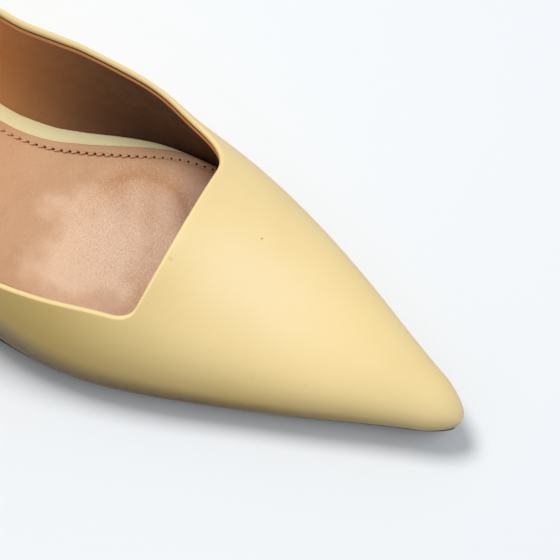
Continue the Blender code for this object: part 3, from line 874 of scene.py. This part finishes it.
tan = Finish("tan_sock", colour(212, 164, 122), 0.5)
tan.tint(tan.band(tan.axis("X"), 70.0 * MM, 98.0 * MM, 0.8, 0.0), colour(208, 156, 106))
tan.tint(tan.band(tan.noise(45, 4), 0.35, 0.7, 0.0, 0.45), colour(204, 150, 106))
tan.tint(tan.band(tan.noise(130, 5, (1.0, 0.6, 1)), 0.52, 0.75, 0.0, 0.30), colour(192, 136, 94))
arch = tan.away(ARCH_PLACE, ARCH_REACH)
outer_fade = tan.times(tan.band(arch, 1.02, 1.22, 1.0, 0.0), tan.band(tan.axis("Y"), 12.0 * MM, 20.0 * MM))
tan.tint(tan.times(tan.band(arch, 0.86, 1.0, 0.0, 0.75), outer_fade), colour(196, 138, 84))
# the patch where the foot rubs: paler partly from wear and partly as a painted sheen
wear_and_sheen = tan.away(WEAR_AND_SHEEN_PLACE, WEAR_AND_SHEEN_REACH)
uneven = tan.plus(wear_and_sheen, tan.times(tan.noise(75, 4), 1.1))
tan.tint(tan.band(uneven, 0.95, 1.42, 0.85, 0.0), colour(244, 206, 172))
# painted sheen inside the arch
tan.tint(tan.band(arch, 0.60, 0.99, 0.42, 0.0), colour(236, 198, 170))
# painted shade on the sock by the far corner of the throat, where the vamp shades it
far_corner_shade = tan.away(FAR_CORNER_SHADE, FAR_SHADE_REACH)
tan.tint(tan.band(far_corner_shade, 0.2, 1.15, 0.75, 0.0), colour(146, 98, 74))
fine = tan.noise(2600, 4, (1.4, 0.7, 1))
on_patch = tan.band(arch, 0.8, 1.7, 1.0, 0.3)
tan.tint(tan.times(tan.band(fine, 0.36, 0.5, 0.42, 0.0), on_patch), colour(196, 144, 110))
tan.tint(tan.times(tan.band(fine, 0.53, 0.68, 0.0, 0.38), on_patch), colour(255, 228, 204))
near_corner = tan.away(NEAR_CORNER, NEAR_REACH)
tan.tint(tan.band(near_corner, 0.2, 1.0, 0.4, 0.0), colour(204, 146, 110))
tan.grain(((tan.noise(3400, 4), 1.0), (tan.noise(900, 4), 1.2), (tan.noise(150, 3), 1.5)), 0.00007)
tan.rough(tan.noise(260, 3), 0.40, 0.56)
rows = []
for height, inward in SOCK_ROUND:
    insets = {s: sock_inset(s, stations) + inward * MM for s in (INNER, OUTER)}
    rows.append((insets, feather_height(stations) + sock_base + height * MM))
sock = slab("sock_leather", stations, rows, 150, [tan.material], sock_tip, sock_relief)
print("sock:", triangles(sock), "triangles")

# %% [markdown]
# ## Stitches
#
# The row holds the sock's edge down. Each stitch is a short slanted run of thread between
# two holes. Hundreds of equal things along a path are what Geometry Nodes are for: the path
# is resampled at one stitch length, and on each point sits a thread and a dark hole.

# %% The path of the row
def stitch_path():
    pieces = []
    for side, at in ((INNER, np.linspace(0.79, 0.114, 260)), (OUTER, np.linspace(0.114, 0.79, 260))):
        flat = feather(side, at, sock_inset(side, at) + stitch_inset(at), sock_tip)
        pieces.append(np.column_stack([flat, feather_height(at) + sock_base + 0.80 * MM]))
    turn = np.linspace(0, math.pi, 60)[1:-1]
    ends = pieces[0][-1], pieces[1][0]
    radius = (ends[0][1] - ends[1][1]) / 2
    middle = (ends[0] + ends[1]) / 2
    depth = HEEL_CENTRE - float(sock_inset(INNER, 0.05)) - float(stitch_inset(0.05))
    round_heel = np.column_stack([middle[0] - depth * np.sin(turn), middle[1] + radius * np.cos(turn),
                                  np.full(len(turn), middle[2])])
    along = (round_heel[:, 0] + HEEL_CENTRE) / LAST_LENGTH
    round_heel[:, 2] = feather_height(along) + sock_base + 0.80 * MM
    return np.concatenate([pieces[0], round_heel, pieces[1]])


path = stitch_path()
path_mesh = bpy.data.meshes.new("stitch_path")
path_mesh.from_pydata([tuple(p) for p in path], [(i, i + 1) for i in range(len(path) - 1)], [])
path_along = (path[:, 0] + HEEL_CENTRE) / LAST_LENGTH
thread_size = np.interp(path_along, [0.55, 0.59], [1.0, 0.3])
path_mesh.attributes.new("thread_size", "FLOAT", "POINT").data.foreach_set("value", thread_size)
stitches = bpy.data.objects.new("sock_stitches", path_mesh)
bpy.context.scene.collection.objects.link(stitches)
print("row of", round(float(np.linalg.norm(np.diff(path, axis=0), axis=1).sum()) / MM), "mm")

# %% [markdown]
# The tree takes its sizes as named inputs, so it can be used again on another shoe. A bead of
# thread, a flat dark bead under it that paints the shadow of the stitch channel, and a needle
# hole sit on every point. Towards the throat the thread is worn in and nearly gone, so the path
# carries a size for it that falls there.

# %% The stitching tree
thread = Finish("tan_thread", colour(226, 170, 122), 0.6)
thread.grain(((thread.noise(5000, 2), 1.0),), 0.00005)
# painted shadow: a flat dark bead under each thread stands in for the shade in the stitch channel
thread_shadow = Finish("painted_thread_shadow", colour(178, 122, 88), 0.7)
thread_shadow.grain(((thread_shadow.noise(3000, 2), 1.0),), 0.00003)
hole = Finish("needle_hole", colour(96, 56, 36), 0.9)
hole.shader.inputs["Specular IOR Level"].default_value = 0.1
hole.grain(((hole.noise(5000, 2), 1.0),), 0.00003)


def stitch_tree():
    tree = bpy.data.node_groups.new("row_of_stitches", "GeometryNodeTree")
    face = tree.interface
    face.new_socket("Geometry", in_out="INPUT", socket_type="NodeSocketGeometry")
    sockets = {}
    for name, number in (("Pitch", 2.45 * MM), ("Thread Length", 2.15 * MM), ("Thread Width", 0.56 * MM),
                         ("Shadow Length", 2.4 * MM), ("Shadow Width", 0.86 * MM),
                         ("Slant", math.radians(18)), ("Hole Width", 0.74 * MM)):
        socket = face.new_socket(name, in_out="INPUT", socket_type="NodeSocketFloat")
        socket.default_value = number
        sockets[name] = socket.identifier
    face.new_socket("Geometry", in_out="OUTPUT", socket_type="NodeSocketGeometry")
    node = tree.nodes.new
    link = tree.links.new
    given = node("NodeGroupInput")
    curve = node("GeometryNodeMeshToCurve")
    link(given.outputs["Geometry"], curve.inputs["Mesh"])
    even = node("GeometryNodeResampleCurve")
    even.mode = "LENGTH"
    link(curve.outputs["Curve"], even.inputs["Curve"])
    link(given.outputs["Pitch"], even.inputs["Length"])
    tangent = node("GeometryNodeInputTangent")
    turn = node("FunctionNodeAlignRotationToVector")
    turn.axis = "X"
    turn.pivot_axis = "Z"
    link(tangent.outputs["Tangent"], turn.inputs["Vector"])
    slant = node("ShaderNodeCombineXYZ")
    link(given.outputs["Slant"], slant.inputs["Z"])
    local = node("FunctionNodeRotateRotation")
    local.rotation_space = "LOCAL"
    link(turn.outputs["Rotation"], local.inputs["Rotation"])
    link(slant.outputs["Vector"], local.inputs["Rotate By"])
    join = node("GeometryNodeJoinGeometry")

    def bead(material, long_name, wide_name, flat, sink, rotation, scale=None):
        ball = node("GeometryNodeMeshUVSphere")
        ball.inputs["Segments"].default_value = 8
        ball.inputs["Rings"].default_value = 6
        ball.inputs["Radius"].default_value = 0.5
        size = node("ShaderNodeCombineXYZ")
        thin = node("ShaderNodeMath")
        thin.operation = "MULTIPLY"
        thin.inputs[1].default_value = flat
        link(given.outputs[wide_name], thin.inputs[0])
        link(given.outputs[long_name], size.inputs["X"])
        link(given.outputs[wide_name], size.inputs["Y"])
        link(thin.outputs["Value"], size.inputs["Z"])
        shape = node("GeometryNodeTransform")
        shape.inputs["Translation"].default_value = sink
        link(ball.outputs["Mesh"], shape.inputs["Geometry"])
        link(size.outputs["Vector"], shape.inputs["Scale"])
        smooth_node = node("GeometryNodeSetShadeSmooth")
        link(shape.outputs["Geometry"], smooth_node.inputs["Geometry"])
        paint = node("GeometryNodeSetMaterial")
        paint.inputs["Material"].default_value = material
        link(smooth_node.outputs["Geometry"], paint.inputs["Geometry"])
        scatter = node("GeometryNodeInstanceOnPoints")
        link(even.outputs["Curve"], scatter.inputs["Points"])
        link(paint.outputs["Geometry"], scatter.inputs["Instance"])
        link(rotation, scatter.inputs["Rotation"])
        if scale is not None:
            link(scale, scatter.inputs["Scale"])
        link(scatter.outputs["Instances"], join.inputs["Geometry"])

    sized = node("GeometryNodeInputNamedAttribute")
    sized.data_type = "FLOAT"
    sized.inputs["Name"].default_value = "thread_size"
    bead(thread.material, "Thread Length", "Thread Width", 0.8, (0, 0, 0.16 * MM), local.outputs["Rotation"],
         sized.outputs["Attribute"])
    bead(thread_shadow.material, "Shadow Length", "Shadow Width", 0.3, (0, 0, 0.02 * MM), local.outputs["Rotation"],
         sized.outputs["Attribute"])
    bead(hole.material, "Hole Width", "Hole Width", 0.6, (1.22 * MM, -0.25 * MM, 0.10 * MM),
         turn.outputs["Rotation"])
    real = node("GeometryNodeRealizeInstances")
    link(join.outputs["Geometry"], real.inputs["Geometry"])
    result = node("NodeGroupOutput")
    link(real.outputs["Geometry"], result.inputs["Geometry"])
    return tree, sockets


tree, sockets = stitch_tree()
weave = stitches.modifiers.new("stitching", "NODES")
weave.node_group = tree
weave[sockets["Pitch"]] = 2.45 * MM
weave[sockets["Slant"]] = math.radians(18)
evaluated = stitches.evaluated_get(bpy.context.evaluated_depsgraph_get())
plain = bpy.data.meshes.new_from_object(evaluated)
stitches.modifiers.clear()
stitches.data = plain
for place, material in enumerate(plain.materials):
    if material is None:
        plain.materials[place] = thread.material
print("stitches:", triangles(stitches), "triangles,", [m.name for m in plain.materials])

# %% [markdown]
# ## Wedge and outsole
#
# The wedge is a light core wrapped in the same calf and pressed on to the seat. The outsole
# is a thin dark leather with a burnished edge that only shows as a line under the toe. Both
# keep the CAD form, and gain rounded edges and a finish.

# %% Wedge
WEDGE_TAPER = 3.0 * MM
WEDGE_INSET = 0.5 * MM
WEDGE_FRONT_THICKNESS = 0.7 * MM
steps = np.linspace(0.3, 0.7, 2000)
front = float(steps[np.argmax(feather_height(steps) - CLEARANCE - BASE < WEDGE_FRONT_THICKNESS)])
stations = slices(front, pointed=False, count=160)
room = feather_height(stations) - CLEARANCE - BASE
drop = room / HEEL_LIFT
rows = []
for share in np.concatenate([[0.0, 0.008, 0.02], np.linspace(0.05, 0.95, 14), [0.98, 0.992, 1.0]]):
    inset = WEDGE_INSET + WEDGE_TAPER * (1 - share) ** 2 * drop
    edge_share = min(share, 1 - share)
    inset = inset + 0.5 * MM * max(0.0, 1 - edge_share / 0.02) ** 2 * np.clip(drop * 2, 0, 1)
    rows.append((both(inset), BASE + room * share))
wedge_calf = butter_calf("wedge_calf", (240, 213, 150))
# painted shade carried down from the upper's low walls, darker towards the front and the outer side
wedge_front_shade = wedge_calf.times(wedge_calf.band(wedge_calf.axis("X"), 0.0, 0.115, 0.0, 0.8),
                               wedge_calf.band(wedge_calf.axis("Y"), -0.014, 0.016, 1.0, 0.2))
wedge_calf.tint(wedge_front_shade, colour(166, 134, 64))
wedge = slab("wedge_wrap", stations, rows, 10, [wedge_calf.material], sharp=70)
print("wedge:", triangles(wedge), "triangles")

# %% Outsole
SOLE_ROUND = ((0.0, 0.6), (0.05, 0.25), (0.14, 0.05), (0.3, 0.0),
              (0.7, 0.0), (0.86, 0.05), (0.95, 0.2), (1.0, 0.5))
OUTSOLE_THICKNESS = 3.0 * MM
OUTSOLE_INSET = 0.5 * MM
dark = Finish("burnished_sole", colour(58, 44, 36), 0.45)
dark.tint(dark.band(dark.noise(60, 4), 0.35, 0.7, 0.0, 0.5), colour(38, 28, 24))
dark.grain(((dark.noise(1800, 4), 1.0), (dark.noise(300, 3, (0.3, 1, 1)), 1.4)), 0.00008)
dark.rough(dark.noise(200, 3), 0.36, 0.6)
gap = CLEARANCE / LAST_LENGTH
back_part = slices(front + gap, pointed=False, count=120)
front_part = slices(1.0, count=200)
stations = np.concatenate([back_part, [front + 2 * gap], front_part[front_part > front + 0.004]])
under = stations <= front + gap
room = feather_height(stations) - CLEARANCE - BASE
taper = np.maximum(WEDGE_TAPER * room / HEEL_LIFT, 0)
inset = np.where(under, WEDGE_INSET + taper, OUTSOLE_INSET)
lift = toe_lift(stations)
top = np.where(under, OUTSOLE_THICKNESS, feather_height(stations) - CLEARANCE)
rows = []
for share, inward in SOLE_ROUND:
    rows.append((both(inset + inward * MM), lift + (top - lift) * share))
outsole = slab("outsole_leather", stations, rows, 14, [dark.material], sharp=60)
print("outsole:", triangles(outsole), "triangles")

# %% [markdown]
# ## Everything rides
#
# The shoe has no joints, so all pieces ride on one body. Each dressed piece stands for the
# solid that it covers, which is hidden.

# %% Attach the pieces
RIDERS = (
    (upper_skin, "upper", "upper_leather"),
    (lining_piece, "upper", "upper_leather"),
    (insole, "insole", "rim_leather"),
    (sock, "sock", "sock_leather"),
    (stitches, "sock", "sock_leather"),
    (wedge, "wedge", "wedge_leather"),
    (outsole, "outsole", "sole_leather"),
)
for piece, node, finish in RIDERS:
    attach(piece, "root")
    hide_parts(node)
print("riding:", [piece.name for piece, _, _ in RIDERS])

# %% [markdown]
# ## Floor, light and camera
#
# The portrait is taken from above on a pale sweep. A large soft lamp stands behind the far
# side and to the left, so the shadow falls towards us and to the right. A dim sky fills the
# rest. The camera's place comes from matching the outline of the shoe.

# %% Floor
floor_mesh = bpy.data.meshes.new("floor")
REACH = 3.0
corners = [(-REACH, -REACH, 0), (REACH, -REACH, 0), (REACH, REACH, 0), (-REACH, REACH, 0)]
floor_mesh.from_pydata(corners, [], [(0, 1, 2, 3)])
floor = bpy.data.objects.new("floor", floor_mesh)
bpy.context.scene.collection.objects.link(floor)
paper = Finish("pale_paper", colour(237, 239, 241), 0.9)
paper.shader.inputs["Specular IOR Level"].default_value = 0.1
floor_mesh.materials.append(paper.material)
print("floor", REACH * 2, "m across")

# %% Light
def lamp(name, place, target, size, power, shade=(1, 1, 1)):
    light = bpy.data.lights.new(name, "AREA")
    light.shape = "DISK"
    light.size = size
    light.energy = power
    light.color = shade
    item = bpy.data.objects.new(name, light)
    item.location = place
    item.rotation_euler = (Vector(target) - Vector(place)).to_track_quat("-Z", "Y").to_euler()
    bpy.context.scene.collection.objects.link(item)
    return item


SHOE_MIDDLE = (0.15, 0.0, 0.02)
lamp("key", (-0.27, 0.11, 1.18), SHOE_MIDDLE, 0.46, 10.1, (1.0, 0.99, 0.975))
lamp("fill", (0.76, 0.0, 1.0), SHOE_MIDDLE, 0.8, 3.0)
world = bpy.data.worlds.new("soft_sky")
world.use_nodes = True
sky = world.node_tree.nodes["Background"]
sky.inputs["Color"].default_value = (0.87, 0.94, 1.02, 1.0)
sky.inputs["Strength"].default_value = 0.37
bpy.context.scene.world = world
bpy.context.scene.view_settings.view_transform = "Standard"

# %% Camera
ELEVATION, AZIMUTH, ROLL = math.radians(68.046), math.radians(23.637), math.radians(4.219)
DISTANCE, PIXELS_PER_MM, FRAME = 700.0, 3.586, 560
LOOK = np.array([170.0, 0.0, 12.0])
LOOK_PIXEL = (251.498, 313.738)
back = np.array([math.sin(AZIMUTH) * math.cos(ELEVATION),
                 -math.cos(AZIMUTH) * math.cos(ELEVATION),
                 math.sin(ELEVATION)])
level = np.array([math.cos(AZIMUTH), math.sin(AZIMUTH), 0.0])
rise = np.cross(back, level)
right = level * math.cos(ROLL) + rise * math.sin(ROLL)
up = -level * math.sin(ROLL) + rise * math.cos(ROLL)
eye = LOOK + back * DISTANCE
focal = PIXELS_PER_MM * DISTANCE
aim = -back + right * (FRAME / 2 - LOOK_PIXEL[0]) / focal - up * (FRAME / 2 - LOOK_PIXEL[1]) / focal
aim = aim / np.linalg.norm(aim)
right = right - aim * right.dot(aim)
right = right / np.linalg.norm(right)
up = np.cross(right, aim)
camera_data = bpy.data.cameras.new("camera")
camera_data.sensor_width = 36.0
camera_data.lens = focal / FRAME * 36.0
camera_data.clip_start = 0.01
camera = bpy.data.objects.new("camera", camera_data)
turned = Matrix(((right[0], up[0], -aim[0]), (right[1], up[1], -aim[1]), (right[2], up[2], -aim[2])))
camera.matrix_world = Matrix.Translation(Vector(eye * MM)) @ turned.to_4x4()
bpy.context.scene.collection.objects.link(camera)
bpy.context.scene.camera = camera
print("camera", [round(v, 3) for v in camera.location], "lens", round(camera_data.lens, 1), "mm")
